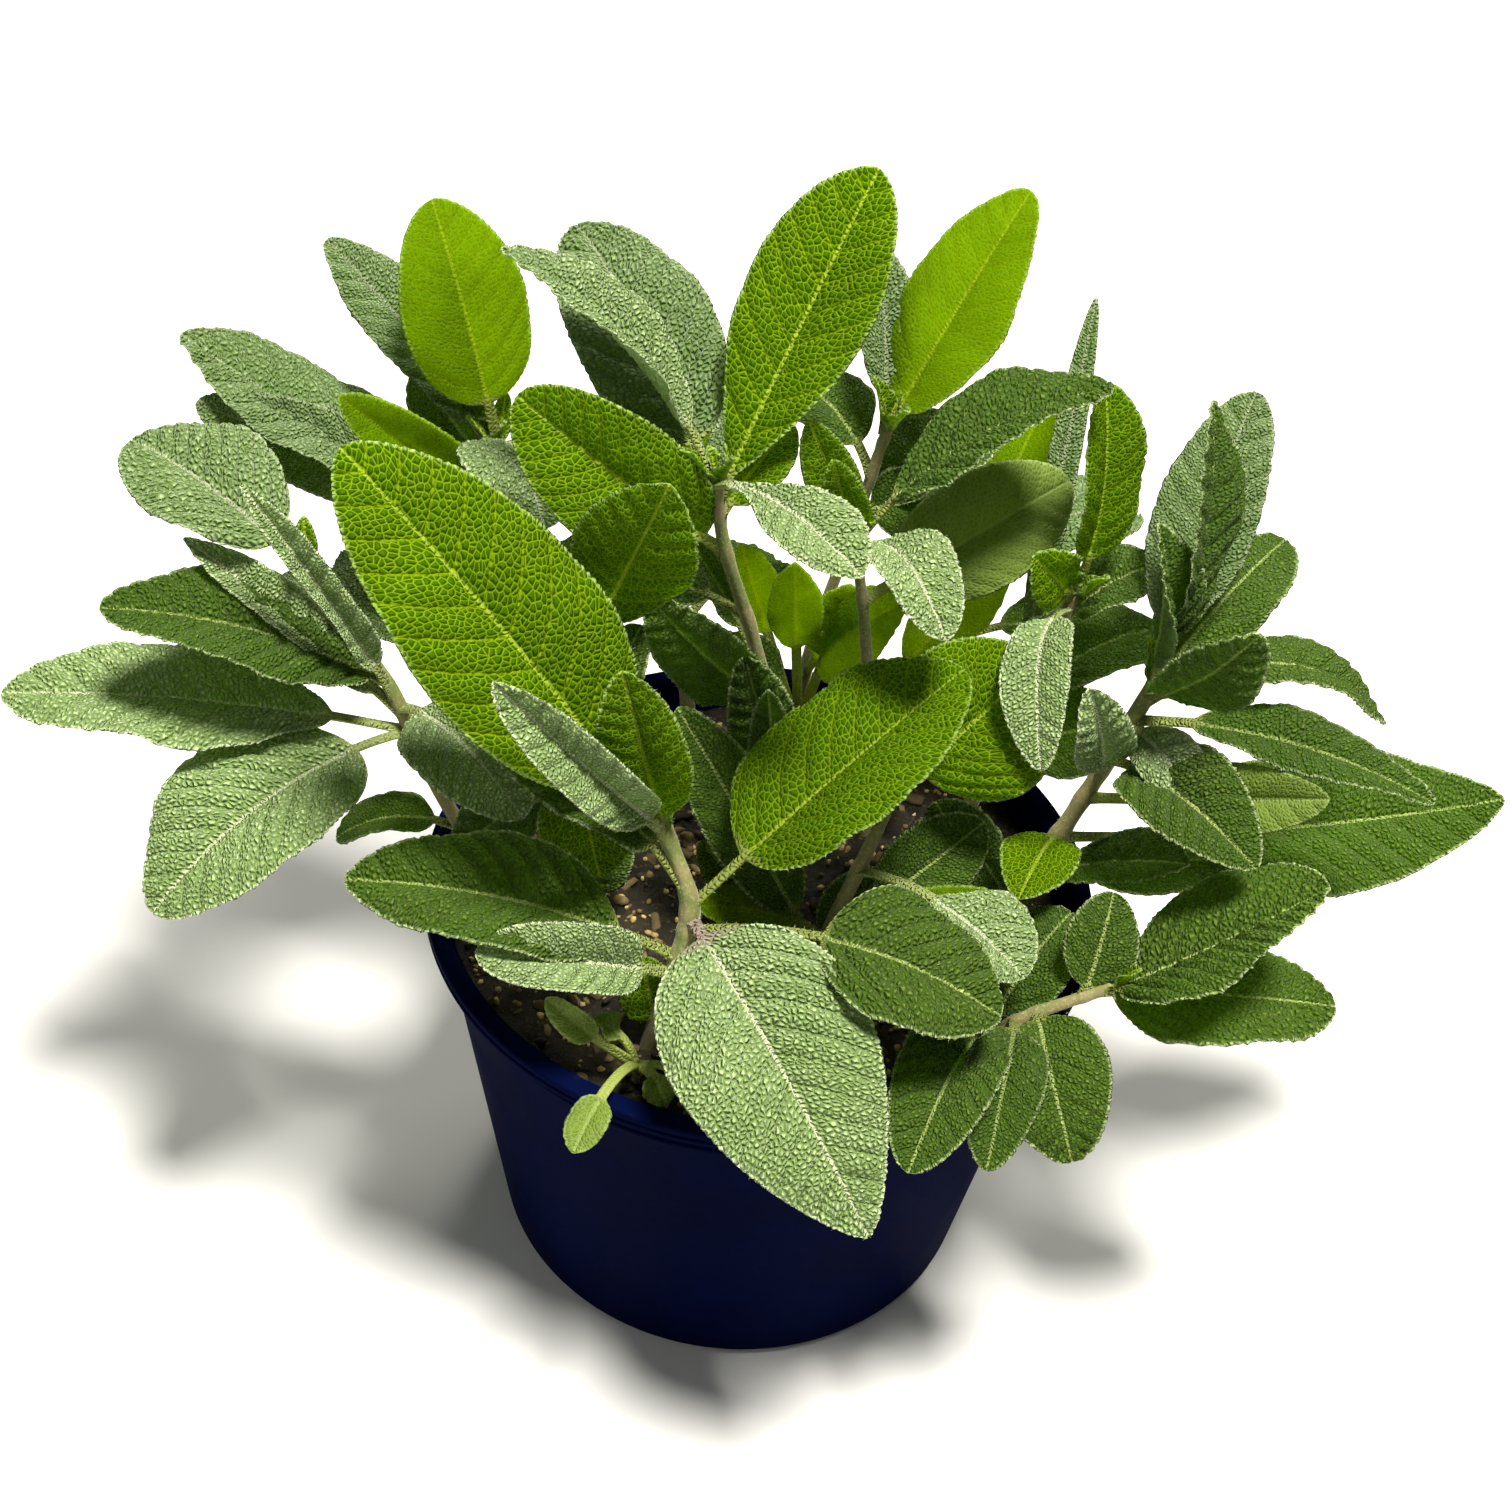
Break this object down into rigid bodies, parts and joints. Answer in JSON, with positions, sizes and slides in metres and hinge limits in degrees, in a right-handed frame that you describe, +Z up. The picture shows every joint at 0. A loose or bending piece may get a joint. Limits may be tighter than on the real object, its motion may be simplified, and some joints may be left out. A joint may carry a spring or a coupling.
{
  "type": "potted herb plant",
  "caption": "Young leafy sage plant with velvety oblong leaves on upright stems, growing in compost in a round tapered plastic nursery pot.",
  "frame": {"origin": "centre of the pot's flat underside", "axes": "+Z up along the pot's axis, -Y towards the side that the picture shows, +X to the viewer's right"},
  "size_m": [0.3016, 0.1928, 0.2372],
  "materials": {
    "pot": "satin",
    "soil": "matte",
    "foliage": "matte"
  },
  "bodies": {
    "root": {"pot": "pot", "soil": "soil", "stem_front": "foliage", "stem_left": "foliage", "stem_back_left": "foliage", "stem_centre_left": "foliage", "stem_mid_left": "foliage", "stem_centre_back": "foliage", "stem_centre_right": "foliage", "stem_right_back": "foliage", "stem_right": "foliage", "stem_right_front": "foliage", "stem_centre": "foliage", "stem_back": "foliage", "stem_back_right": "foliage", "stem_left_back": "foliage", "seedling": "foliage"}
  },
  "joints": []
}
